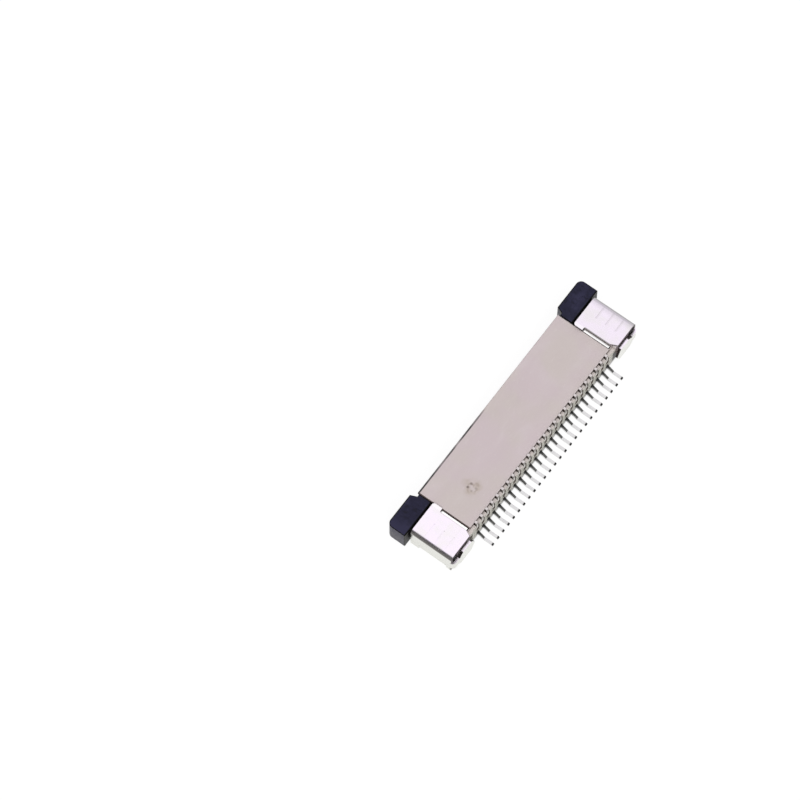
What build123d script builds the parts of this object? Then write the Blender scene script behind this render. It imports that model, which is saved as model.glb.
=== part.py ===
from build123d import *
import os

# Slider-type connector for a flat flexible cable, with a row of blanked contacts.
# Millimetres. X runs along the row of contacts, +Y points out of the cable mouth and
# z = 0 is the board. While the pieces are made, y = 0 is the rear edge of the top plate.
# The connector is centred along Y at the end.

os.makedirs("parts", exist_ok=True)

# Row of contacts
contact_count = 26
contact_pitch = 0.50
contact_thickness = 0.15
contact_clearance = 0.01

# Tail of a contact: a flat foot on the board and a lead that climbs to the housing
foot_thickness = 0.15
foot_end_chamfer = 0.06
foot_reach = 1.34
knee_reach = 0.69
lead_top_reach = 0.16
lead_height = 0.46
lead_bend_radius = 0.16

# Contact inside the housing
post_rear = 0.03
post_depth = 0.45
head_reach = 0.21
head_height = 0.68
head_rise = 0.09
head_radius = 0.06
upper_beam_length = 1.95
upper_beam_depth = 0.16
upper_beam_tip_depth = 0.12
lower_beam_bottom = 0.30
lower_beam_depth = 0.18
lower_beam_taper = 0.04
lower_beam_length = 2.60
nose_chamfer = 0.075
bump_height = 0.62
bump_setback = 0.33
bump_radius = 0.12
beam_clearance = 0.02

# Housing: top plate, floor and walls
housing_height = 1.65
board_gap = 0.10
plate_margin = 0.47
plate_depth = 3.60
plate_wall = 0.35
plate_edge_chamfer = 0.04
floor_height = 0.50
floor_depth = 3.45
floor_lead_in = 0.12
groove_floor = 0.22
groove_end_wall = 0.25
rear_wall_depth = 0.55
side_wall_thickness = 0.27
side_wall_depth = 2.45

# Comb behind the top plate
comb_depth = 0.24
comb_step = 0.15
comb_edge_radius = 0.10
slot_width = 0.25
window_sill = 0.75
arch_top = 0.60
arch_flare = 0.04
arch_flare_height = 0.14

# Hold-downs: tinned sheet folded round each end of the housing
sheet = 0.15
top_bend_inner_radius = 0.20
bend_inner_radius = 0.15
leg_clearance = 0.05
leg_top_drop = 0.09
clip_clearance = 0.02
clip_front = 2.51
clip_corner_radius = 0.15
clip_rear = 0.29
neck_run = 0.02
notch_front = 1.90
notch_depth = 0.24
notch_radius = 0.08
rear_chamfer_width = 0.40
rear_chamfer_depth = 0.20
fold_front = 1.88
fold_rear = 0.10
fold_relief = 0.05
tab_reach = 0.49
tab_height = 1.36
tab_width = 1.42
tab_edge_width = 0.78
tab_inner_offset = 0.16
neck_height = 1.06
neck_bottom = 0.36
neck_relief = 0.05
neck_inner_radius = 0.10
neck_slope_inset = 0.15
neck_slope_run = 0.25
coin_count = 3
coin_pitch = 0.68
coin_first = 0.33
coin_length = 0.88
coin_width = 0.06
coin_depth = 0.02

# End blocks of the housing, inside the hold-downs
block_width = 1.35
pocket_width = 0.50
pocket_height = 1.22
pocket_depth = 0.20
block_front_gap = 0.15

# Slider
slider_travel = 0.90
slider_clearance = 0.04
arm_thickness = 0.35
arm_side_clearance = 0.03
arm_bottom = 0.25
arm_top_drop = 0.14
arm_length = 2.92
arm_end_chamfer = 0.10
hook_setback = 1.95
hook_depth = 0.12
hook_length = 0.30
hook_flat = 0.15
stop_clearance = 0.05
cap_gap = 0.13
cap_depth = 1.24
cap_rise = 0.01
cap_lift = 0.03
cap_overhang = 0.34
cap_corner_radius = 0.35
cap_edge_chamfer = 0.04
cap_step_depth = 0.84
cap_step_width = 0.17
cap_slant_width = 0.17
cap_mark_length = 0.95
cap_mark_width = 0.34
cap_mark_rear = 0.17
cap_mark_depth = 0.02
tongue_clearance = 0.02
tongue_thickness = 0.18
tongue_rear = 1.00
tongue_nose_rise = 0.09
tongue_nose_drop = 0.06
bar_rear = 2.65
bar_clearance = 0.03

# Places that follow from the sizes above
row_half = (contact_count - 1) * contact_pitch / 2
plate_half = row_half + plate_margin
ceiling = housing_height - plate_wall
comb_top = housing_height - comb_step
head_top = housing_height + head_rise
beam_top = ceiling - beam_clearance
upper_beam_bottom = beam_top - upper_beam_depth
lower_beam_top = lower_beam_bottom + lower_beam_depth
post_front = post_rear + post_depth
leg_inner = plate_half + leg_clearance
leg_outer = leg_inner + sheet
block_inner = leg_outer + leg_clearance
block_outer = block_inner + block_width
arm_inner = block_outer + arm_side_clearance
arm_outer = arm_inner + arm_thickness
side_inner = arm_outer + slider_clearance
side_outer = side_inner + sheet
clip_top = housing_height + sheet
leg_height = housing_height - leg_top_drop
top_bend_mid_radius = top_bend_inner_radius + sheet / 2
bend_mid_radius = bend_inner_radius + sheet / 2
neck_mid_radius = neck_inner_radius + sheet / 2
fold_height = 2 * bend_mid_radius
clip_side_rear = tab_reach - sheet / 2 - neck_mid_radius - neck_run
cap_inner = plate_half + slider_clearance
cap_outer = side_outer + slider_clearance + cap_overhang
cap_rear = clip_front + cap_gap
cap_step = cap_rear + cap_step_depth
cap_front = cap_rear + cap_depth
cap_top = housing_height + cap_rise
arm_rear = cap_rear - arm_length
arm_top = housing_height - arm_top_drop
block_bottom = sheet + clip_clearance
block_top = housing_height - clip_clearance
block_chamfer = bend_inner_radius / 2
block_front = cap_rear - block_front_gap
hook_rear = cap_rear - hook_setback
hook_front = hook_rear + hook_length
recess_front = hook_front + slider_travel + stop_clearance
recess_rear = hook_rear - stop_clearance
tongue_top = upper_beam_bottom - tongue_clearance
tongue_bottom = tongue_top - tongue_thickness
contact_slot = contact_thickness + 2 * contact_clearance
tab_inner = plate_half + tab_inner_offset
centre_y = (cap_front - foot_reach) / 2


def box(x0, x1, y0, y1, z0, z1):
    """A block between two opposite corners."""
    middle = ((x0 + x1) / 2, (y0 + y1) / 2, (z0 + z1) / 2)
    return Pos(*middle) * Box(x1 - x0, y1 - y0, z1 - z0)


def along_x(face, x0, x1):
    """A profile drawn in the YZ plane, made solid from x0 to x1."""
    return extrude(Pos(x0, 0, 0) * face, amount=x1 - x0, dir=(1, 0, 0))


def along_y(face, y0, y1):
    """A profile drawn in the XZ plane, made solid from y0 to y1."""
    return extrude(Pos(0, y0, 0) * face, amount=y1 - y0, dir=(0, 1, 0))


def yz(points):
    """A closed outline of (y, z) points."""
    return make_face(Polyline(*[(0, y, z) for y, z in points], close=True))


def xz(points):
    """A closed outline of (x, z) points."""
    return make_face(Polyline(*[(x, 0, z) for x, z in points], close=True))


def nearest(shape, x, y, z):
    """The corner of a flat outline that lies nearest to a point."""
    return shape.vertices().sort_by_distance((x, y, z))[0]


def strip_yz(line, thickness):
    """A strip of sheet seen edge on, along a line in the YZ plane."""
    flat = Plane.YZ.to_local_coords(line)
    return Plane.YZ * trace(flat, thickness)


def strip_xz(line, thickness):
    """A strip of sheet seen edge on, along a line in the XZ plane."""
    flat = Plane.XZ.to_local_coords(line)
    return Plane.XZ * trace(flat, thickness)


def mirrored(shape):
    """The same shape at both ends of the connector."""
    return shape + mirror(shape, about=Plane.YZ)


def contact_xs():
    """The place of each contact along the row."""
    return [contact_pitch * i - row_half for i in range(contact_count)]


def make_contact():
    """One contact at x = 0, blanked from sheet: tail, post, head and two beams."""
    foot_middle = foot_thickness / 2
    tail_line = FilletPolyline(
        (0, -foot_reach, foot_middle),
        (0, -knee_reach, foot_middle),
        (0, -lead_top_reach, lead_height),
        (0, post_rear + post_depth / 2, lead_height),
        radius=lead_bend_radius,
    )
    upper_tip = post_front + upper_beam_length
    nose = post_front + lower_beam_length
    bump = nose - bump_setback
    rise = bump - bump_setback
    body = yz(
        [
            (post_rear, lower_beam_bottom),
            (rise, lower_beam_bottom),
            (bump, bump_height - lower_beam_depth),
            (nose - nose_chamfer, lower_beam_bottom),
            (nose, lower_beam_bottom + nose_chamfer),
            (bump, bump_height),
            (rise, lower_beam_top - lower_beam_taper),
            (post_front, lower_beam_top),
            (post_front, upper_beam_bottom),
            (upper_tip, beam_top - upper_beam_tip_depth),
            (upper_tip, beam_top),
            (-beam_clearance, beam_top),
            (-beam_clearance, head_top),
            (-head_reach, head_top),
            (-head_reach, head_top - head_height),
            (post_rear, head_top - head_height),
        ]
    )
    body = fillet(nearest(body, 0, bump, bump_height), bump_radius)
    body = fillet(nearest(body, 0, -head_reach, head_top), head_radius)
    profile = body + strip_yz(tail_line, foot_thickness)
    profile = chamfer(nearest(profile, 0, -foot_reach, foot_thickness), foot_end_chamfer)
    return along_x(profile, -contact_thickness / 2, contact_thickness / 2)


def make_end_block():
    """The right end block: it carries the hold-down and guides the slider's arm."""
    block = box(block_inner, block_outer, -comb_depth, block_front, block_bottom, block_top)
    block = chamfer(block.edges().filter_by(Axis.Y).group_by(Axis.Z)[0], block_chamfer)
    front_bridge = box(
        plate_half, block_inner, fold_front + leg_clearance, side_wall_depth, block_bottom, comb_top
    )
    rear_bridge = box(
        plate_half, block_inner, -comb_depth, fold_rear - leg_clearance, block_bottom, comb_top
    )
    recess_inner = block_outer - hook_depth - slider_clearance
    recess = box(recess_inner, block_outer, recess_rear, recess_front, 0, clip_top)
    pocket_front = pocket_depth - comb_depth
    pocket = box(leg_inner, leg_inner + pocket_width, -comb_depth, pocket_front, 0, pocket_height)
    return block + front_bridge + rear_bridge - recess - pocket


def contact_cuts():
    """The slot, the window and the arch that one contact takes in the housing."""
    slot_front = floor_depth - groove_end_wall
    slot_half = contact_slot / 2
    slot = box(-slot_half, slot_half, -beam_clearance, slot_front, groove_floor, ceiling)
    half = slot_width / 2
    window = box(-half, half, -comb_depth, 0, window_sill, housing_height)
    flare = half + arch_flare
    flare_top = board_gap + arch_flare_height
    spring = arch_top - half
    arch = make_face(
        Polyline(
            (-half, 0, spring), (-half, 0, flare_top), (-flare, 0, board_gap),
            (flare, 0, board_gap), (half, 0, flare_top), (half, 0, spring),
        )
        + ThreePointArc((half, 0, spring), (0, 0, arch_top), (-half, 0, spring))
    )
    return slot + window + along_y(arch, -comb_depth, 0)


def make_housing():
    """Top plate, floor, rear wall with its comb, side walls and end blocks, moulded in one."""
    body = yz(
        [
            (-comb_depth, board_gap),
            (floor_depth - floor_lead_in, board_gap),
            (floor_depth, board_gap + floor_lead_in),
            (floor_depth, floor_height - floor_lead_in),
            (floor_depth - floor_lead_in, floor_height),
            (rear_wall_depth, floor_height),
            (rear_wall_depth, ceiling),
            (plate_depth - floor_lead_in, ceiling),
            (plate_depth, ceiling + floor_lead_in),
            (plate_depth, housing_height),
            (0, housing_height),
            (0, comb_top),
            (-comb_depth, comb_top),
        ]
    )
    body = fillet(nearest(body, 0, -comb_depth, comb_top), comb_edge_radius)
    housing = along_x(body, -plate_half, plate_half)
    top = housing.faces().sort_by(Axis.Z)[-1]
    rim = top.edges().filter_by(lambda edge: edge.center().Y > plate_edge_chamfer)
    housing = chamfer(rim, plate_edge_chamfer)
    wall_inner = plate_half - side_wall_thickness
    side_wall = box(wall_inner, plate_half, 0, side_wall_depth, floor_height, ceiling)
    housing = housing + mirrored(side_wall) + mirrored(make_end_block())
    return housing - [Pos(x, 0, 0) * contact_cuts() for x in contact_xs()]


def make_tab():
    """The solder tab behind the housing and the neck that bends round to the side wall."""
    middle = sheet / 2
    side_x = side_outer - middle
    tab_y = -tab_reach + middle
    tab_outer = tab_inner + tab_width
    slant = (tab_width - tab_edge_width) / 2
    slope_inner = tab_outer - neck_slope_inset
    slope_outer = slope_inner + neck_slope_run
    line = FilletPolyline(
        (side_x, -clip_side_rear, 0), (side_x, tab_y, 0), (tab_inner, tab_y, 0), radius=neck_mid_radius
    )
    strip = extrude(trace(line, sheet), tab_height)
    corners = [
        (tab_inner, tab_height / 2),
        (tab_inner + slant, 0),
        (tab_inner + slant, tab_height),
        (tab_outer - slant, tab_height),
        (slope_inner, 0),
    ]
    point, lower, upper, far_upper, far_lower = corners
    outline = xz(
        [
            point, lower, far_lower, (slope_outer, neck_bottom), (side_outer, neck_bottom),
            (side_outer, neck_height), (tab_outer, neck_height), far_upper, upper,
        ]
    )
    for x, z in corners:
        outline = fillet(nearest(outline, x, 0, z), clip_corner_radius)
    return strip & along_y(outline, -tab_reach, 0)


def coin_lines():
    """Shallow lines pressed into the top of the hold-down, running into the bend."""
    end = side_outer - top_bend_mid_radius
    half = coin_width / 2
    bottom = clip_top - coin_depth
    places = [coin_first + coin_pitch * i for i in range(coin_count)]
    return [box(end - coin_length, end, y - half, y + half, bottom, clip_top) for y in places]


def make_hold_down():
    """The right hold-down, folded from one sheet."""
    middle = sheet / 2
    side_x = side_outer - middle
    leg_x = leg_inner + middle
    top_z = clip_top - middle
    shell_line = FilletPolyline(
        (plate_half, 0, top_z), (side_x, 0, top_z), (side_x, 0, 0), radius=top_bend_mid_radius
    )
    shell = along_y(strip_xz(shell_line, sheet), -clip_rear, clip_front)
    front_corner = shell.edges().filter_by(Axis.Z).group_by(Axis.Y)[-1].group_by(Axis.X)[0]
    shell = fillet(front_corner, clip_corner_radius)
    notch = box(
        plate_half - sheet, plate_half + notch_depth, -clip_rear, notch_front, housing_height, clip_top
    )
    notch_corner = notch.edges().filter_by(Axis.Z).group_by(Axis.Y)[-1].group_by(Axis.X)[-1]
    shell = shell - fillet(notch_corner, notch_radius)
    rear_corner = shell.edges().filter_by(Axis.Z).group_by(Axis.Y)[0].group_by(Axis.X)[0]
    shell = chamfer(rear_corner, rear_chamfer_width, rear_chamfer_depth)
    wall_inner = side_inner - sheet
    relief_bottom = neck_bottom - neck_relief
    relief_top = neck_height + neck_relief
    side_rear = box(wall_inner, side_outer, -clip_rear, -clip_side_rear, relief_bottom, relief_top)
    relief_rear = fold_rear - fold_relief
    relief_front = fold_front + fold_relief
    relief = box(wall_inner, side_outer, relief_rear, relief_front, 0, fold_height)
    fold_line = FilletPolyline(
        (side_x, 0, fold_height), (side_x, 0, middle), (leg_x, 0, middle), (leg_x, 0, leg_height),
        radius=bend_mid_radius,
    )
    fold = along_y(strip_xz(fold_line, sheet), fold_rear, fold_front)
    return shell - side_rear - relief + fold + make_tab() - coin_lines()


def make_slider_end():
    """The right end of the slider: its cap, and the arm with its hook."""
    plan = make_face(
        Polyline(
            (cap_inner, cap_rear), (cap_outer, cap_rear), (cap_outer, cap_front),
            (cap_inner + cap_step_width + cap_slant_width, cap_front),
            (cap_inner + cap_step_width, cap_step), (cap_inner, cap_step), close=True,
        )
    )
    plan = fillet(nearest(plan, cap_outer, cap_front, 0), cap_corner_radius)
    cap = extrude(Pos(0, 0, cap_lift) * plan, cap_top - cap_lift)
    cap = chamfer(cap.faces().sort_by(Axis.Z)[-1].edges(), cap_edge_chamfer)
    mark_inner = (cap_inner + cap_outer - cap_mark_length) / 2
    mark_rear = cap_rear + cap_mark_rear
    mark = box(
        mark_inner, mark_inner + cap_mark_length, mark_rear, mark_rear + cap_mark_width,
        cap_top - cap_mark_depth, cap_top,
    )
    arm_plan = make_face(
        Polyline(
            (arm_inner, arm_rear), (arm_outer - arm_end_chamfer, arm_rear),
            (arm_outer, arm_rear + arm_end_chamfer), (arm_outer, cap_rear), (arm_inner, cap_rear),
            close=True,
        )
    )
    hook_tip = arm_inner - hook_depth
    hook_plan = make_face(
        Polyline(
            (arm_inner, hook_front), (hook_tip, hook_front), (hook_tip, hook_front - hook_flat),
            (arm_inner, hook_rear), close=True,
        )
    )
    arm = extrude(Pos(0, 0, arm_bottom) * (arm_plan + hook_plan), arm_top - arm_bottom)
    return cap - mark + arm


def make_slider():
    """Both ends, the bar between them and the tongue that presses on the cable."""
    bar = box(-cap_inner, cap_inner, bar_rear, cap_step, tongue_bottom, ceiling - bar_clearance)
    tongue_half = plate_half - side_wall_thickness - slider_clearance
    tongue = yz(
        [
            (bar_rear, tongue_bottom),
            (bar_rear, tongue_top),
            (tongue_rear + tongue_nose_rise, tongue_top),
            (tongue_rear, tongue_top - tongue_nose_drop),
            (tongue_rear, tongue_bottom + tongue_nose_rise),
            (tongue_rear + tongue_thickness, tongue_bottom),
        ]
    )
    return mirrored(make_slider_end()) + bar + along_x(tongue, -tongue_half, tongue_half)


def save(name, shape):
    """Centre a piece along Y and write it under its name."""
    shape = Pos(0, -centre_y, 0) * shape
    shape.label = name
    export_step(shape, f"parts/{name}.step")


save("housing", make_housing())
save("slider", make_slider())
hold_down = make_hold_down()
save("right_hold_down", hold_down)
save("left_hold_down", mirror(hold_down, about=Plane.YZ))
contact = make_contact()
for number, x in enumerate(contact_xs(), start=1):
    save(f"contact_{number:02d}", Pos(x, 0, 0) * contact)
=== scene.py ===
import math

import bpy
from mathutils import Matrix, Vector


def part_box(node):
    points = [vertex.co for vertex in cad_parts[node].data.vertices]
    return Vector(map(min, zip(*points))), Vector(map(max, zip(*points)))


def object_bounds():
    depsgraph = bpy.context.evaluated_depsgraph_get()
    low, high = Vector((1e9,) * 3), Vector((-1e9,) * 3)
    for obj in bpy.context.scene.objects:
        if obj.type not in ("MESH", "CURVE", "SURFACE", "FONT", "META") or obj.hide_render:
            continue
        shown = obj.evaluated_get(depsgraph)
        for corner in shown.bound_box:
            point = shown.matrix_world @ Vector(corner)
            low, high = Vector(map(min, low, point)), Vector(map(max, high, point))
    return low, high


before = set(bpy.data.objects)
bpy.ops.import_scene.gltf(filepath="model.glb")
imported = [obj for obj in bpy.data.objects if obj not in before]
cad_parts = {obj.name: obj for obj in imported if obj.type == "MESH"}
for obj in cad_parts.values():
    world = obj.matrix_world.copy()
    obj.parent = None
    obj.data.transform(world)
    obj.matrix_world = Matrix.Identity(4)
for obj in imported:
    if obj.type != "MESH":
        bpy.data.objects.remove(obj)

packed_low, packed_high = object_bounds()

# The camera is a long lens on a copy stand, looking steeply down on the row of tails.
# Its place and its lens come from the real size of the connector and from the corners in the picture.
mm = 0.001
camera_azimuth = math.radians(-53.57)
camera_elevation = math.radians(68.28)
camera_distance = 264.8 * mm
camera_aim = Vector((-2.30 * mm, 6.84 * mm, 0.0))
lens_length = 209.4
sensor_width = 36.0
camera_near = 10 * mm
camera_far = 2000 * mm

camera_back = Vector(
    (
        math.sin(camera_azimuth) * math.cos(camera_elevation),
        -math.cos(camera_azimuth) * math.cos(camera_elevation),
        math.sin(camera_elevation),
    )
)
lens = bpy.data.cameras.new("copy_stand_lens")
lens.lens = lens_length
lens.sensor_width = sensor_width
lens.clip_start = camera_near
lens.clip_end = camera_far
camera = bpy.data.objects.new("copy_stand_camera", lens)
camera.location = camera_aim + camera_back * camera_distance
camera.rotation_euler = (math.pi / 2 - camera_elevation, 0.0, camera_azimuth)
bpy.context.scene.collection.objects.link(camera)
bpy.context.scene.camera = camera

# The studio: a white table, one soft lamp, and a tent that is bright overhead and dim near the table.
# The bends and the steep leads of the tinned metal mirror the dim ring of the tent as dark lines.
# The ring is paler on the side that the right bend faces. Under the connector the table glows less: a
# painted shadow.
table_half = 600 * mm
table_white = (0.90, 0.90, 0.89, 1.0)
table_roughness = 0.9
table_seen_lit = 0.22
table_seen_glow = 0.90
painted_shadow_glow = 0.10
under_inside_clip = 0.10 * mm
under_behind_clip = 0.20 * mm
under_fade = 0.20 * mm
tent_top = (1.12, 1.10, 1.13, 1.0)
tent_dim = (0.105, 0.105, 0.100, 1.0)
tent_pale = (0.85, 0.84, 0.86, 1.0)
tent_ring_height = 0.56
tent_top_height = 0.82
tent_pale_from = 0.35
tent_pale_to = 0.85
lamp_watts = 0.62
lamp_size = 260 * mm
lamp_distance = 500 * mm
lamp_azimuth = math.radians(-40)
lamp_elevation = math.radians(38)


def add_node(tree, kind, inputs=None, **settings):
    """One shader node. Each input is a value, or the output of another node that feeds it."""
    made = tree.nodes.new(kind)
    for name, value in settings.items():
        setattr(made, name, value)
    for name, value in (inputs or {}).items():
        if isinstance(value, bpy.types.NodeSocket):
            tree.links.new(value, made.inputs[name])
        else:
            made.inputs[name].default_value = value
    return made


def number(tree, operation, first, second=0.0):
    """One sum on two numbers."""
    return add_node(tree, "ShaderNodeMath", {0: first, 1: second}, operation=operation).outputs[0]


def either(tree, *shares):
    """The share of the surface where at least one of the given shares is."""
    whole = shares[0]
    for share in shares[1:]:
        whole = number(tree, "MAXIMUM", whole, share)
    return whole


def ramp(tree, value, start, end, low=0.0, high=1.0):
    """A smooth change from low to high while value goes from start to end."""
    made = add_node(
        tree,
        "ShaderNodeMapRange",
        {"Value": value, "From Min": start, "From Max": end, "To Min": low, "To Max": high},
        interpolation_type="SMOOTHSTEP",
    )
    return made.outputs["Result"]


def blend_colours(tree, share, first, second):
    """The first colour where share is 0, the second where it is 1."""
    made = add_node(tree, "ShaderNodeMix", {0: share, 6: first, 7: second}, data_type="RGBA")
    return made.outputs[2]


clip_low, clip_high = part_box("right_hold_down")
under_half = clip_high.x - under_inside_clip
under_rear = clip_low.y + under_behind_clip
under_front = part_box("housing")[1].y

table_mesh = bpy.data.meshes.new("table")
table_corners = [(-1, -1), (1, -1), (1, 1), (-1, 1)]
table_points = [(x * table_half, y * table_half, 0.0) for x, y in table_corners]
table_mesh.from_pydata(table_points, [], [(0, 1, 2, 3)])
table = bpy.data.objects.new("table", table_mesh)
bpy.context.scene.collection.objects.link(table)

table_paper = bpy.data.materials.new("white_table")
table_paper.use_nodes = True
tree = table_paper.node_tree
tree.nodes.clear()
sight = add_node(tree, "ShaderNodeLightPath")
seen = either(
    tree,
    sight.outputs["Is Camera Ray"],
    sight.outputs["Is Glossy Ray"],
    sight.outputs["Is Transmission Ray"],
)
lit_white = add_node(tree, "ShaderNodeBsdfDiffuse", {"Color": table_white, "Roughness": table_roughness})
dimmed_white = tuple(channel * table_seen_lit for channel in table_white[:3]) + (1.0,)
dimmed = add_node(tree, "ShaderNodeBsdfDiffuse", {"Color": dimmed_white, "Roughness": table_roughness})
table_place = add_node(tree, "ShaderNodeTexCoord").outputs["Object"]
table_parts = add_node(tree, "ShaderNodeSeparateXYZ", {0: table_place}).outputs
off_middle = number(tree, "ABSOLUTE", table_parts[0])
# The glow of the table is lowered to a painted shadow under the connector.
past_side = ramp(tree, off_middle, under_half - under_fade, under_half)
past_rear = ramp(tree, table_parts[1], under_rear + under_fade / 2, under_rear)
past_front = ramp(tree, table_parts[1], under_front - under_fade, under_front)
beyond_painted_shadow = either(tree, past_side, past_rear, past_front)
glow_gained = number(tree, "MULTIPLY", beyond_painted_shadow, table_seen_glow - painted_shadow_glow)
glow_strength = number(tree, "ADD", painted_shadow_glow, glow_gained)
glow = add_node(tree, "ShaderNodeEmission", {"Color": (1.0, 1.0, 1.0, 1.0), "Strength": glow_strength})
seen_white = add_node(tree, "ShaderNodeAddShader", {0: dimmed.outputs[0], 1: glow.outputs[0]})
paper_parts = {0: seen, 1: lit_white.outputs[0], 2: seen_white.outputs[0]}
paper = add_node(tree, "ShaderNodeMixShader", paper_parts)
add_node(tree, "ShaderNodeOutputMaterial", {"Surface": paper.outputs[0]})
table_mesh.materials.append(table_paper)

tent = bpy.data.worlds.new("soft_tent")
bpy.context.scene.world = tent
tent.use_nodes = True
tree = tent.node_tree
tree.nodes.clear()
way = add_node(tree, "ShaderNodeTexCoord")
way_parts = add_node(tree, "ShaderNodeSeparateXYZ", {0: way.outputs["Generated"]})
height = ramp(tree, way_parts.outputs["Z"], tent_ring_height, tent_top_height)
pale_side = ramp(tree, way_parts.outputs["X"], tent_pale_from, tent_pale_to)
tent_ring = blend_colours(tree, pale_side, tent_dim, tent_pale)
tent_light = blend_colours(tree, height, tent_ring, tent_top)
cloth = add_node(tree, "ShaderNodeBackground", {"Color": tent_light, "Strength": 1.0})
add_node(tree, "ShaderNodeOutputWorld", {"Surface": cloth.outputs[0]})

lamp_data = bpy.data.lights.new("soft_lamp", "AREA")
lamp_data.shape = "DISK"
lamp_data.size = lamp_size
lamp_data.energy = lamp_watts
lamp = bpy.data.objects.new("soft_lamp", lamp_data)
lamp_way = Vector(
    (
        math.sin(lamp_azimuth) * math.cos(lamp_elevation),
        -math.cos(lamp_azimuth) * math.cos(lamp_elevation),
        math.sin(lamp_elevation),
    )
)
lamp.location = lamp_way * lamp_distance
lamp.rotation_euler = lamp_way.to_track_quat("Z", "Y").to_euler()
bpy.context.scene.collection.objects.link(lamp)

# The housing is one moulding in a pale rose-beige filled resin, with faint flow marks.
# The top plate has a burnt spot where the resin came in. Behind it the comb is greyer and painted darker
# towards the bottom as shade, and the windows round the contacts are painted brown inside as shade.
resin_rose = (0.674, 0.577, 0.590, 1.0)
resin_olive = (0.664, 0.588, 0.562, 1.0)
resin_pale = (0.775, 0.712, 0.700, 1.0)
resin_shaded = (0.590, 0.500, 0.508, 1.0)
comb_grey = (0.610, 0.600, 0.530, 1.0)
comb_rose = (0.700, 0.640, 0.600, 1.0)
window_shade_brown = (0.230, 0.195, 0.165, 1.0)
arch_shade_dark = (0.012, 0.013, 0.010, 1.0)
arch_top = 0.60
block_shade = (0.300, 0.245, 0.262, 1.0)
shade_brown = (0.085, 0.050, 0.042, 1.0)
lip_reach = 0.030
lip_fade = 0.020
rear_edge_shade_strength = 0.65
burn_olive = (0.500, 0.425, 0.330, 1.0)
burn_brown = (0.330, 0.255, 0.200, 1.0)
speck_brown = (0.150, 0.115, 0.095, 1.0)
front_line_dark = (0.035, 0.033, 0.033, 1.0)
resin_roughness = 0.50
roughness_spread = 0.06
resin_bump_depth = 0.0035
comb_depth = 0.24
comb_step = 0.15
comb_end_inner = 0.25
comb_end_outer = 0.30
comb_shade_depth = 0.12
plate_rim = 0.07
rim_highlight_strength = 0.55
left_shade_width = 0.060
left_shade_core = 0.045
left_shade_strength = 0.85
front_line_width = 0.12
front_line_core = 0.10
front_line_start = -0.2
front_line_full = -1.2
cloud_scale = 0.45
fibre_scale = 9.0
grain_scale = 26.0
gate_place = (-4.67, 0.065)
gate_ring_radius = 0.24
gate_ring_width = 0.13
gate_halo_radius = 0.62
gate_clear_radius = 0.06
gate_ring_strength = 0.42
gate_halo_strength = 0.36
gate_ripple = 0.16
gate_specks = [(-4.80, 0.27, 0.11, 0.80), (-4.52, 0.22, 0.12, 0.55), (-4.60, -0.165, 0.11, 0.30)]
gate_specks += [(-4.875, -0.04, 0.09, 0.30)]
gate_stains = [(-4.65, 0.55, 0.34, 0.22), (-4.42, -0.26, 0.30, 0.22), (-5.05, 0.09, 0.36, 0.18)]

housing_low, housing_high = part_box("housing")
comb_rear = housing_low.y / mm
plate_rear = comb_rear + comb_depth
plate_front = housing_high.y / mm
plate_top = housing_high.z / mm
plate_half = -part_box("left_hold_down")[1].x / mm
comb_top = plate_top - comb_step


def new_surface(name):
    """An empty material, its tree, and the place of each point in millimetres with its three parts."""
    material = bpy.data.materials.new(name)
    material.use_nodes = True
    tree = material.node_tree
    tree.nodes.clear()
    coordinates = add_node(tree, "ShaderNodeTexCoord")
    to_millimetres = {0: coordinates.outputs["Object"], "Scale": 1 / mm}
    scaled = add_node(tree, "ShaderNodeVectorMath", to_millimetres, operation="SCALE")
    parts = add_node(tree, "ShaderNodeSeparateXYZ", {0: scaled.outputs[0]})
    return material, tree, scaled.outputs[0], parts.outputs


def noise(tree, place, scale, detail=3.0, stretch=(1.0, 1.0, 1.0), warp=0.0):
    """Uneven grey from 0 to 1, with scale lumps to the millimetre."""
    vector = add_node(tree, "ShaderNodeVectorMath", {0: place, 1: stretch}, operation="MULTIPLY")
    made = add_node(
        tree,
        "ShaderNodeTexNoise",
        {"Vector": vector.outputs[0], "Scale": scale, "Detail": detail, "Distortion": warp},
    )
    return made.outputs["Fac"]


def facing(tree):
    """The way that the surface faces, as three parts."""
    geometry = add_node(tree, "ShaderNodeNewGeometry")
    return add_node(tree, "ShaderNodeSeparateXYZ", {0: geometry.outputs["Normal"]}).outputs


def bump(tree, heights, depth_mm, strength=1.0):
    """A normal that rises by depth_mm where heights is 1."""
    made = add_node(
        tree, "ShaderNodeBump", {"Height": heights, "Distance": depth_mm * mm, "Strength": strength}
    )
    return made.outputs["Normal"]


def finish_surface(tree, **inputs):
    """The shader that every surface of the connector ends in."""
    names = {key.replace("_", " ").title().replace("Ior", "IOR"): value for key, value in inputs.items()}
    shader = add_node(tree, "ShaderNodeBsdfPrincipled", names)
    add_node(tree, "ShaderNodeOutputMaterial", {"Surface": shader.outputs[0]})


def dress(node, material):
    """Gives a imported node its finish."""
    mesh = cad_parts[node].data
    mesh.materials.clear()
    mesh.materials.append(material)


def overlap(tree, *shares):
    """The share of the surface where all the given shares overlap. A plain number weakens it."""
    whole = shares[0]
    for share in shares[1:]:
        whole = number(tree, "MULTIPLY", whole, share)
    return whole


def spot(tree, flat_place, x, y, radius):
    """1 at a point of the plate, 0 beyond radius from it."""
    away = add_node(tree, "ShaderNodeVectorMath", {0: flat_place, 1: (x, y, 0.0)}, operation="DISTANCE")
    return ramp(tree, away.outputs["Value"], radius * 0.35, radius, 1.0, 0.0)


resin, tree, place, (place_x, place_y, place_z) = new_surface("filled_resin")
faces_x, faces_y, faces_z = facing(tree)
side_x = number(tree, "ABSOLUTE", place_x)

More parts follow.
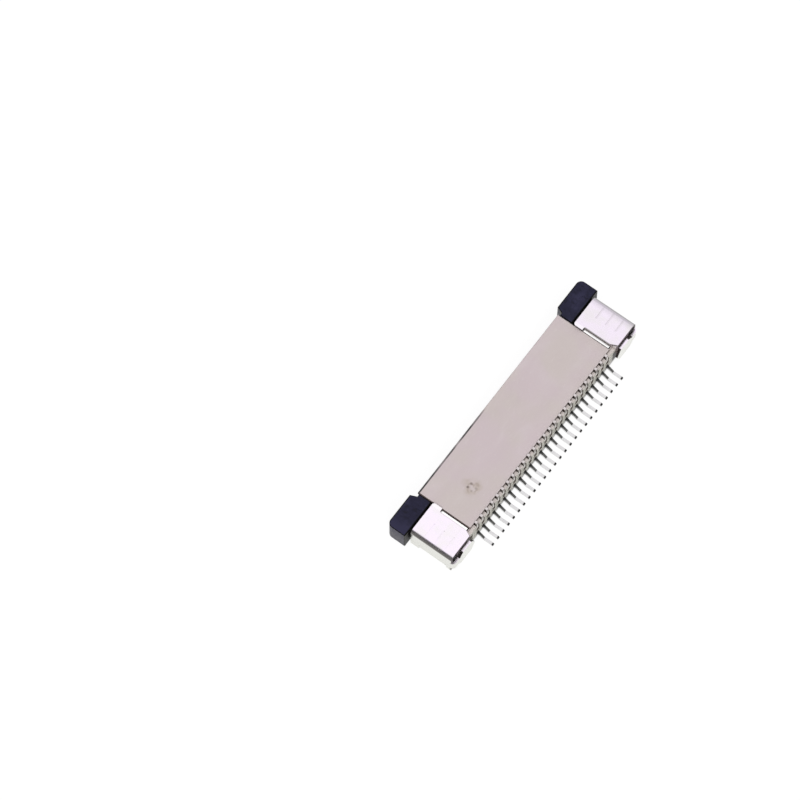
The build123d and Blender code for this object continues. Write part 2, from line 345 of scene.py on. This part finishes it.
# Clouds of olive in the rose, streaks along the flow, and pale ends of fibres.
clouds = noise(tree, place, cloud_scale, 2.0)
colour = blend_colours(tree, ramp(tree, clouds, 0.35, 0.65), resin_rose, resin_olive)
flow = noise(tree, place, 0.8, 3.0, (0.55, 1.0, 1.0), 0.6)
colour = blend_colours(tree, ramp(tree, flow, 0.45, 0.85, 0.0, 0.25), colour, resin_shaded)
colour = blend_colours(tree, ramp(tree, flow, 0.50, 0.20, 0.0, 0.22), colour, resin_pale)
fibres = noise(tree, place, fibre_scale, 2.0, (0.35, 1.0, 1.0))
colour = blend_colours(tree, ramp(tree, fibres, 0.55, 0.80, 0.0, 0.25), colour, resin_pale)

# The rim of the plate is painted paler as a painted highlight along its edges.
from_side = number(tree, "SUBTRACT", plate_half, side_x)
from_front = number(tree, "SUBTRACT", plate_front, place_y)
from_rear = number(tree, "SUBTRACT", place_y, plate_rear)
from_rim = number(tree, "MINIMUM", number(tree, "MINIMUM", from_side, from_front), from_rear)
on_plate = ramp(tree, place_z, plate_top - plate_rim, plate_top - plate_rim / 2)
rim_highlight = overlap(tree, ramp(tree, from_rim, plate_rim, 0.0, 0.0, rim_highlight_strength), on_plate)
colour = blend_colours(tree, rim_highlight, colour, resin_pale)

# The gate spot: an uneven tan ring in a faint halo, soft stains beside it and a few dark specks on it.
ripple = noise(tree, place, 3.2, 3.0)
ripple_shift = ramp(tree, ripple, 0.2, 0.8, -gate_ripple, gate_ripple)
flat_place = add_node(tree, "ShaderNodeCombineXYZ", {0: place_x, 1: place_y, 2: 0.0}).outputs[0]
gate_points = {0: flat_place, 1: (*gate_place, 0.0)}
gate_away = add_node(tree, "ShaderNodeVectorMath", gate_points, operation="DISTANCE")
gate_far = number(tree, "ADD", gate_away.outputs["Value"], ripple_shift)
halo = ramp(tree, gate_far, gate_ring_radius, gate_halo_radius, gate_halo_strength, 0.0)
halo = overlap(tree, halo, ramp(tree, gate_far, gate_clear_radius, gate_ring_radius))
ring_off = number(tree, "ABSOLUTE", number(tree, "SUBTRACT", gate_far, gate_ring_radius))
ring = ramp(tree, ring_off, 0.0, gate_ring_width, gate_ring_strength, 0.0)
ring = overlap(tree, ring, ramp(tree, noise(tree, place, 5.0, 2.0), 0.35, 0.60))
colour = blend_colours(tree, overlap(tree, halo, on_plate), colour, burn_olive)
for x, y, radius, strength in gate_stains:
    stain = overlap(tree, spot(tree, flat_place, x, y, radius), on_plate, strength)
    colour = blend_colours(tree, stain, colour, burn_olive)
colour = blend_colours(tree, overlap(tree, ring, on_plate), colour, burn_brown)
for x, y, radius, strength in gate_specks:
    speck = overlap(tree, spot(tree, flat_place, x, y, radius), on_plate, strength)
    colour = blend_colours(tree, speck, colour, speck_brown)

# The left side of the plate, where it faces left beside the leg of the hold-down, is painted dark as
# shade.
left_side_shade = overlap(
    tree,
    ramp(tree, faces_x, -0.2, -0.6),
    ramp(tree, from_side, left_shade_width, left_shade_core),
    ramp(tree, from_rear, -0.01, 0.0),
    ramp(tree, side_x, plate_half + 0.010, plate_half + 0.005),
    left_shade_strength,
)
colour = blend_colours(tree, left_side_shade, colour, shade_brown)

# A dark line is painted along the front edge of the plate, from the left end to the middle.
front_line = overlap(
    tree,
    ramp(tree, from_front, front_line_width, front_line_core),
    on_plate,
    ramp(tree, place_x, front_line_start, front_line_full),
    ramp(tree, noise(tree, place, 0.9, 2.0), 0.30, 0.55, 0.45, 1.0),
)
colour = blend_colours(tree, front_line, colour, front_line_dark)

# The comb behind the plate, greyer and painted darker towards the bottom, with its windows and arches
# painted in shade, the rear faces of the end blocks in painted shade, and the painted dark shade line
# along the plate's rear edge.
behind_plate = ramp(tree, place_y, plate_rear + 0.005, plate_rear - 0.005)
# The comb is painted greyer and darker towards the bottom, as painted shade.
comb_height = ramp(tree, place_z, comb_top - comb_shade_depth, comb_top)
comb_colour = blend_colours(tree, comb_height, comb_grey, comb_rose)
between_ends = ramp(tree, side_x, plate_half + comb_end_outer, plate_half + comb_end_inner)
colour = blend_colours(tree, overlap(tree, behind_plate, between_ends), colour, comb_colour)
# The walls of the windows are painted brown as shade, and black low down in the arches.
window_shade = overlap(
    tree,
    ramp(tree, either(tree, number(tree, "ABSOLUTE", faces_x), faces_z), 0.4, 0.7),
    ramp(tree, place_z, comb_top, comb_top - comb_shade_depth),
    ramp(tree, side_x, plate_half, plate_half - 0.02),
    behind_plate,
)
in_arch = ramp(tree, place_z, arch_top + 0.04, arch_top - 0.02)
colour = blend_colours(tree, window_shade, colour, blend_colours(tree, in_arch, window_shade_brown, arch_shade_dark))
# The rear faces of the end blocks are painted in shade.
past_ends = ramp(tree, side_x, plate_half + comb_end_inner, plate_half + comb_end_outer)
block_rear_shade = overlap(tree, ramp(tree, faces_y, -0.5, -0.8), past_ends)
colour = blend_colours(tree, block_rear_shade, colour, block_shade)
# The dark line along the plate's rear edge is painted shade, on the step and on the rib tops next to it.
rear_edge_shade = overlap(
    tree,
    ramp(tree, place_y, plate_rear - lip_reach - lip_fade, plate_rear - lip_reach),
    ramp(tree, place_y, plate_rear + 0.005, plate_rear + 0.002),
    ramp(tree, place_z, comb_top - 0.02, comb_top - 0.01),
    ramp(tree, place_z, plate_top - 0.001, plate_top - 0.005),
    rear_edge_shade_strength,
)
colour = blend_colours(tree, rear_edge_shade, colour, shade_brown)

grain = noise(tree, place, grain_scale, 2.0)
uneven = number(tree, "ADD", grain, number(tree, "MULTIPLY", flow, 1.5))
smoothest, roughest = resin_roughness - roughness_spread, resin_roughness + roughness_spread
finish_surface(
    tree,
    base_color=colour,
    roughness=ramp(tree, grain, 0.2, 0.8, smoothest, roughest),
    normal=bump(tree, uneven, resin_bump_depth, 0.6),
)
dress("housing", resin)

# The contacts are blanked from thin bronze strip and tinned, so their faces are bright and satin.
# They are pushed into the comb from behind. The heads are painted as lit and shaded copies of the tin: a
# softer tone on top, a darker one on their rear faces, and painted shade on their sides, brown next to
# the plate.
# The tail ends were cut from the carrier strip after plating, and show dull bare metal.
contact_tin = (0.680, 0.680, 0.675, 1.0)
contact_tin_dull = (0.560, 0.555, 0.550, 1.0)
head_tin = (0.610, 0.570, 0.560, 1.0)
head_rear_shade_tin = (0.500, 0.465, 0.435, 1.0)
head_side_shade_brown = (0.040, 0.018, 0.015, 1.0)
head_side_shade_grey = (0.360, 0.340, 0.310, 1.0)
head_brown_reach = 0.06
head_grey_reach = 0.18
root_shade = (0.030, 0.030, 0.026, 1.0)
bare_bronze = (0.060, 0.060, 0.057, 1.0)
root_reach = 0.30
root_full = 0.02
root_shade_strength = 0.85
contact_roughness = 0.20
contact_bump_depth = 0.002
tail_cut_depth = 0.13
lead_height = 0.60
head_height = 0.70

tail_rear = packed_low.y / mm


def outside(tree, share):
    """The share of the surface where the given share isn't."""
    return number(tree, "SUBTRACT", 1.0, share)


tail_tin, tree, place, (_, place_y, place_z) = new_surface("tinned_contact")
faces_x, faces_y, _ = facing(tree)
drawn = noise(tree, place, 6.0, 3.0, (3.0, 0.4, 1.0))
patches = noise(tree, place, 2.2, 2.0)
dull_patches = ramp(tree, patches, 0.40, 0.75, 0.0, 0.5)
colour = blend_colours(tree, dull_patches, contact_tin, contact_tin_dull)
high = ramp(tree, place_z, lead_height, head_height)
# Painted light and shade on the heads: their own tone on top, darker rear faces and shaded sides.
colour = blend_colours(tree, high, colour, head_tin)
shaded_head_rear = overlap(tree, ramp(tree, faces_y, -0.35, -0.85), high)
colour = blend_colours(tree, shaded_head_rear, colour, head_rear_shade_tin)
shaded_head_side = overlap(tree, ramp(tree, number(tree, "ABSOLUTE", faces_x), 0.6, 0.8), high)
off_plate = ramp(tree, place_y, plate_rear - head_brown_reach, plate_rear - head_grey_reach)
head_side_shade_colour = blend_colours(tree, off_plate, head_side_shade_brown, head_side_shade_grey)
colour = blend_colours(tree, shaded_head_side, colour, head_side_shade_colour)
# The leads are painted darker as shade where they come out from the comb.
lead_root_shade = ramp(tree, place_y, comb_rear - root_reach, comb_rear - root_full, 0.0, root_shade_strength)
colour = blend_colours(tree, overlap(tree, lead_root_shade, outside(tree, high)), colour, root_shade)
cut_end = ramp(tree, place_y, tail_rear + tail_cut_depth, tail_rear + tail_cut_depth / 2)
colour = blend_colours(tree, cut_end, colour, bare_bronze)
finish_surface(
    tree,
    base_color=colour,
    metallic=outside(tree, shaded_head_side),
    roughness=ramp(tree, drawn, 0.2, 0.8, contact_roughness - 0.06, contact_roughness + 0.10),
    normal=bump(tree, drawn, contact_bump_depth, 0.5),
)
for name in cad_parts:
    if name.startswith("contact_"):
        dress(name, tail_tin)

# Each hold-down is blanked from tinned brass sheet and folded round the end of the housing.
# Its broad faces are smooth and bright, its upright faces carry painted shade, its sheared edges are
# dull with painted shade, and its bends carry painted dark reflections. The left one has a cleaner top
# and a darker painted line in its bend than the right one.
sheet_tin = (0.900, 0.825, 0.925, 1.0)
sheet_tin_warm = (0.870, 0.830, 0.850, 1.0)
sheet_upright_shade = (0.735, 0.735, 0.690, 1.0)
sheet_bend_reflection_dark = (0.390, 0.378, 0.390, 1.0)
sheet_bend_line_dark = (0.150, 0.140, 0.135, 1.0)
sheet_edge_and_shade = (0.085, 0.070, 0.070, 1.0)
sheet_highlight_white = (0.970, 0.970, 0.940, 1.0)
sheet_rollover_reflection_dark = (0.420, 0.370, 0.385, 1.0)
sheet_dirt_and_shade = (0.420, 0.400, 0.400, 1.0)
sheet_roughness = 0.22
edge_roughness = 0.45
sheet_bump_depth = 0.0015
sheet_thickness = 0.15
between_clips = 1.0
tab_behind_clip = 0.20
stub_depth = 0.08
stub_top = 0.31
stub_inside_clip = 0.17
neck_height = 1.06
neck_root_inner = 0.70
neck_root_outer = 0.52
fold_height = 0.45
fold_start = 0.10
inner_edge_start = 0.4
inner_edge_full = 0.5
leg_reach = 0.20
notch_reach = 0.24
notch_length = 2.19
rollover_width = 0.035
highlight_low = 0.10
highlight_high = 0.05
bend_outer_radius = 0.35
bend_dark_from = 0.64
bend_dark_to = 0.26
bend_dark_share_flat = 0.15
bend_dark_share_bend = 0.42
coin_count = 3
coin_pitch = 0.68
coin_first = 0.62
coin_length = 0.88
coin_depth = 0.02
coin_shade_half = 0.10

clip_low, clip_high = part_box("right_hold_down")
clip_top = clip_high.z / mm
clip_outer = clip_high.x / mm
tab_rear = clip_low.y / mm
clip_rear = tab_rear + tab_behind_clip
clip_front = clip_high.y / mm
bend_start = clip_top - bend_outer_radius
coin_end = clip_outer - bend_outer_radius + sheet_thickness / 2
coin_start = coin_end - coin_length
coin_floor = clip_top - coin_depth
leg_outer = plate_half + leg_reach
notch_outer = plate_half + notch_reach
notch_front = clip_rear + notch_length
root_inner = clip_outer - neck_root_inner
root_outer = clip_outer - neck_root_outer


def by_end(tree, place_x, left, right):
    """One value on the left hold-down and another on the right one."""
    return ramp(tree, place_x, -between_clips, between_clips, left, right)


sheet_metal, tree, place, (place_x, place_y, place_z) = new_surface("tinned_sheet")
faces_x, faces_y, faces_z = facing(tree)
side_x = number(tree, "ABSOLUTE", place_x)
faces_side = number(tree, "ABSOLUTE", faces_x)
faces_end = number(tree, "ABSOLUTE", faces_y)
smear = noise(tree, place, 1.4, 3.0)
rolled = noise(tree, place, 5.0, 4.0, (0.15, 3.0, 3.0))
colour = blend_colours(tree, ramp(tree, smear, 0.35, 0.70), sheet_tin, sheet_tin_warm)
# The upright faces are painted a duller, greener tone than the tops, as painted shade.
colour = blend_colours(tree, ramp(tree, faces_z, 0.80, 0.30), colour, sheet_upright_shade)

# The top bends carry painted dark reflections: the right one is painted darker from well before the
# bend, and both have a painted dark line along their middle.
in_bend = ramp(tree, place_z, bend_start - 0.02, bend_start + 0.02)
right_bend = overlap(tree, by_end(tree, place_x, 0.0, 1.0), in_bend)
bend_dark_start, bend_dark_full = clip_outer - bend_dark_from, clip_outer - bend_dark_to
right_bend_dark_reflection = ramp(tree, place_x, bend_dark_start, bend_dark_full, bend_dark_share_flat, bend_dark_share_bend)
colour = blend_colours(tree, overlap(tree, right_bend_dark_reflection, right_bend), colour, sheet_bend_reflection_dark)
right_bend_dark_turn = overlap(tree, ramp(tree, faces_z, 0.91, 0.76), right_bend)
colour = blend_colours(tree, right_bend_dark_turn, colour, sheet_bend_reflection_dark)
bend_dark_line = overlap(
    tree,
    ramp(tree, faces_z, 0.70, 0.58),
    ramp(tree, faces_z, 0.05, 0.20),
    by_end(tree, place_x, 1.0, 0.45),
    in_bend,
)
colour = blend_colours(tree, bend_dark_line, colour, sheet_bend_line_dark)

# Painted shade lies along the coined lines, and fine specks of dirt over the whole sheet.
for index in range(coin_count):
    middle = clip_rear + coin_first + coin_pitch * index
    off_line = number(tree, "ABSOLUTE", number(tree, "SUBTRACT", place_y, middle))
    coin_line_shade = overlap(
        tree,
        ramp(tree, off_line, coin_shade_half, coin_shade_half / 5),
        ramp(tree, side_x, coin_start - 0.04, coin_start + 0.10),
        ramp(tree, side_x, coin_end + 0.05, coin_end - 0.15),
        by_end(tree, place_x, 0.02, 0.20),
        ramp(tree, faces_z, 0.90, 0.98),
    )
    colour = blend_colours(tree, coin_line_shade, colour, sheet_dirt_and_shade)
dirt = noise(tree, place, 9.0, 1.0)
specks = overlap(tree, ramp(tree, dirt, 0.76, 0.84, 0.0, 0.4), by_end(tree, place_x, 0.4, 1.0))
colour = blend_colours(tree, specks, colour, sheet_dirt_and_shade)

# The sheared edges at the two ends of the sheet, painted dark as dull cut metal and as painted shade,
# but not the walls of the coined lines and of the fold.
behind_fold = ramp(tree, place_y, clip_rear + fold_start, clip_rear + fold_start + 0.02)
before_front = ramp(tree, place_y, clip_front - fold_start, clip_front - fold_start - 0.02)
in_coin = ramp(tree, place_z, coin_floor - 0.004, coin_floor - 0.002)
in_fold = ramp(tree, place_z, fold_height + 0.02, fold_height)
coin_walls = overlap(tree, in_coin, behind_fold, before_front)
formed = either(tree, coin_walls, overlap(tree, in_fold, behind_fold))
past_tab = ramp(tree, place_y, tab_rear + sheet_thickness, tab_rear + sheet_thickness + 0.005)
end_edge_and_shade = overlap(
    tree,
    ramp(tree, faces_end, 0.6, 0.8),
    ramp(tree, faces_y, 0.1, 0.5, 1.0, 0.6),
    past_tab,
    outside(tree, formed),
)

# The sheared outline of the solder tab, dark as dull cut metal and as painted shade, a painted shadow at
# the stub under its neck, and painted shade at the root of the neck.
on_tab = outside(tree, past_tab)
tab_edge_and_shade = overlap(tree, ramp(tree, faces_end, 0.3, 0.1), ramp(tree, faces_z, 0.95, 0.85), on_tab)
stub_shadow = overlap(
    tree,
    ramp(tree, place_y, clip_rear + stub_depth + 0.005, clip_rear + stub_depth - 0.005),
    ramp(tree, place_z, stub_top + 0.01, stub_top),
    ramp(tree, place_y, clip_rear - 0.02, clip_rear - 0.01),
    ramp(tree, side_x, clip_outer - stub_inside_clip, clip_outer - stub_inside_clip + 0.01),
    by_end(tree, place_x, 0.45, 1.0),
)
neck_root_shade = overlap(
    tree,
    ramp(tree, side_x, root_outer, root_outer - 0.06),
    ramp(tree, side_x, root_inner, root_inner + 0.04),
    ramp(tree, place_z, neck_height + 0.03, neck_height + 0.01),
    ramp(tree, place_z, neck_height - 0.03, neck_height - 0.01),
    on_tab,
)

# The inner edge of the top, next to the plate, painted dark as dull cut metal and as painted shade of
# the gap beside it. It is painted lighter on the right hold-down.
inner_edge_and_shade = overlap(
    tree,
    ramp(tree, faces_side, 0.6, 0.8),
    ramp(tree, place_z, clip_top - sheet_thickness, clip_top - sheet_thickness + 0.01),
    ramp(tree, side_x, clip_outer - inner_edge_start, clip_outer - inner_edge_full),
    by_end(tree, place_x, 1.0, 0.15),
)
edge_and_shade = either(tree, end_edge_and_shade, stub_shadow, tab_edge_and_shade, neck_root_shade, inner_edge_and_shade)
colour = blend_colours(tree, edge_and_shade, colour, sheet_edge_and_shade)

# The upward faces of the leg beside the plate carry a painted highlight, and the rolled-over edge of the
# notch a painted dark reflection.
leg_highlight = overlap(
    tree,
    ramp(tree, side_x, leg_outer + 0.015, leg_outer + 0.005),
    ramp(tree, faces_z, 0.80, 0.90),
    ramp(tree, place_z, clip_top - highlight_low, clip_top - highlight_high, 1.0, 0.4),
)
colour = blend_colours(tree, leg_highlight, colour, sheet_highlight_white)
rollover_dark_reflection = overlap(
    tree,
    ramp(tree, side_x, notch_outer + rollover_width + 0.02, notch_outer + rollover_width),
    ramp(tree, side_x, notch_outer - 0.03, notch_outer - 0.02),
    ramp(tree, faces_z, 0.80, 0.90),
    ramp(tree, place_y, notch_front, notch_front - 0.02),
    by_end(tree, place_x, 0.35, 0.0),
)
colour = blend_colours(tree, rollover_dark_reflection, colour, sheet_rollover_reflection_dark)

worn = number(tree, "ADD", number(tree, "MULTIPLY", smear, 0.7), number(tree, "MULTIPLY", rolled, 0.3))
worn = ramp(tree, worn, 0.3, 0.7, sheet_roughness - 0.05, sheet_roughness + 0.07)
scratched = overlap(tree, rolled, ramp(tree, faces_side, 0.5, 0.8, 1.0, 0.1))
finish_surface(
    tree,
    base_color=colour,
    metallic=1.0,
    roughness=either(tree, worn, number(tree, "MULTIPLY", edge_and_shade, edge_roughness)),
    normal=bump(tree, scratched, sheet_bump_depth, 0.5),
)
dress("left_hold_down", sheet_metal)
dress("right_hold_down", sheet_metal)

# The slider is moulded in a blue-black resin: two caps, the bar and tongue between them, and two arms.
# Its tops are even and matt with a faint bloom, and its upright faces keep the coarser mould grain.
# It is pushed into the mouth of the housing from the front, and its arms clip in beside the end blocks.
slider_navy = (0.0145, 0.0140, 0.0375, 1.0)
slider_bloom = (0.0290, 0.0275, 0.0650, 1.0)
slider_sheen_grey = (0.2500, 0.2450, 0.2600, 1.0)
slider_scuff_and_shade_black = (0.002, 0.002, 0.002, 1.0)
slider_roughness = 0.42
slider_specular = 0.16
slider_bump_depth = 0.02
upright_grain_scale = 15.0
cap_depth = 1.24
cap_rim_width = 0.09
cap_rim_core = 0.05
cap_shade_depth = 0.10
cap_pale_height = 0.45
cap_pale_from = 8.3
cap_pale_to = 9.1

cap_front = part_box("slider")[1].y / mm
cap_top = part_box("slider")[1].z / mm
cap_rear = cap_front - cap_depth

slider_resin, tree, place, (place_x, place_y, place_z) = new_surface("blue_black_resin")
faces_x, _, faces_z = facing(tree)
bloom = noise(tree, place, 1.3, 3.0)
colour = blend_colours(tree, ramp(tree, bloom, 0.45, 0.75), slider_navy, slider_bloom)
scuffs = noise(tree, place, 7.0, 4.0, (1.0, 0.5, 1.0), 0.5)
colour = blend_colours(tree, ramp(tree, scuffs, 0.50, 0.72, 0.0, 0.55), colour, slider_bloom)
colour = blend_colours(tree, ramp(tree, scuffs, 0.45, 0.30, 0.0, 0.45), colour, slider_scuff_and_shade_black)
far_left = ramp(tree, place_x, -cap_pale_from, -cap_pale_to)
colour = blend_colours(tree, far_left, colour, slider_bloom)

# The upright faces are painted paler grey along their grain as painted sheen, most of it low down and on
# faces turned left.
upright = ramp(tree, number(tree, "ABSOLUTE", faces_z), 0.6, 0.3)
upright = overlap(tree, upright, ramp(tree, place_y, cap_rear - 0.01, cap_rear))
coarse = noise(tree, place, upright_grain_scale, 2.0)
upright_sheen = overlap(
    tree,
    ramp(tree, coarse, 0.30, 0.75, 0.15, 0.90),
    upright,
    ramp(tree, faces_x, 0.0, -0.6, 0.30, 1.0),
    ramp(tree, place_z, cap_top - cap_shade_depth, cap_pale_height, 0.30, 1.0),
)
colour = blend_colours(tree, upright_sheen, colour, slider_sheen_grey)

# The rims of the caps are painted black as shade, and so are the arms and the parts inside the housing.
cap_rim_shade = overlap(tree, ramp(tree, faces_z, 0.97, 0.88), ramp(tree, faces_z, 0.40, 0.55))
rear_parts_shade = ramp(tree, place_y, cap_rear + cap_rim_width, cap_rear + cap_rim_core)
front_rim_shade = overlap(
    tree,
    ramp(tree, place_y, cap_front - cap_rim_width, cap_front - cap_rim_core),
    ramp(tree, faces_z, 0.5, 0.7),
)
colour = blend_colours(tree, either(tree, cap_rim_shade, rear_parts_shade, front_rim_shade), colour, slider_scuff_and_shade_black)

fine = noise(tree, place, grain_scale, 2.0)
deep = number(tree, "MULTIPLY", coarse, upright)
relief = number(tree, "ADD", deep, number(tree, "MULTIPLY", fine, 0.3))
finish_surface(
    tree,
    base_color=colour,
    roughness=ramp(tree, fine, 0.2, 0.8, slider_roughness - 0.05, slider_roughness + 0.08),
    specular_ior_level=slider_specular,
    normal=bump(tree, relief, slider_bump_depth, 0.6),
)
dress("slider", slider_resin)

# The picture is viewed with plain colours.
# The size of the imported connector is kept.
bpy.context.scene.view_settings.view_transform = "Standard"
